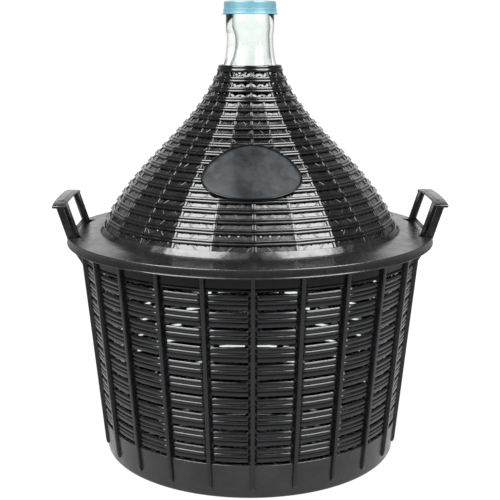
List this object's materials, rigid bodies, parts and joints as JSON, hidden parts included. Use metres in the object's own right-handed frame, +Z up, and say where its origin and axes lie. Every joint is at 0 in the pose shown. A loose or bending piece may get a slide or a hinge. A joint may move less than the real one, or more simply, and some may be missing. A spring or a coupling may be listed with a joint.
{
  "type": "basketed glass demijohn",
  "caption": "Wide glass demijohn with a narrow capped neck, standing in a slatted plastic basket with side handles, under a ribbed bell-shaped cover that lifts off.",
  "frame": {"origin": "middle of the basket's flat underside, on the surface it stands on", "axes": "+Z up along the bottle's axis, the front with the oval plate faces -Y, the handles stand at -X and +X"},
  "size_m": [0.438, 0.4206, 0.5139],
  "materials": {
    "glass": "clear with a pale green tint",
    "black_plastic": "satin moulded",
    "cap_plastic": "soft satin"
  },
  "bodies": {
    "basket": {"basket_body": "black_plastic", "basket_rim": "black_plastic", "handle_left": "black_plastic", "handle_right": "black_plastic"},
    "bottle": {"glass_bottle": "glass"},
    "cap": {"neck_cap": "cap_plastic"},
    "cover": {"cover_cone": "black_plastic", "cover_flange": "black_plastic", "cover_plate": "black_plastic"}
  },
  "joints": [
    {"name": "bottle_lift", "type": "slide", "parent": "basket", "child": "bottle", "axis": [0, 0, 1], "range_m": [0, 0.3]},
    {"name": "cover_lift", "type": "slide", "parent": "bottle", "child": "cover", "axis": [0, 0, 1], "range_m": [0, 0.27]},
    {"name": "cap_pull", "type": "slide", "parent": "bottle", "child": "cap", "axis": [0, 0, 1], "range_m": [0, 0.06]}
  ]
}
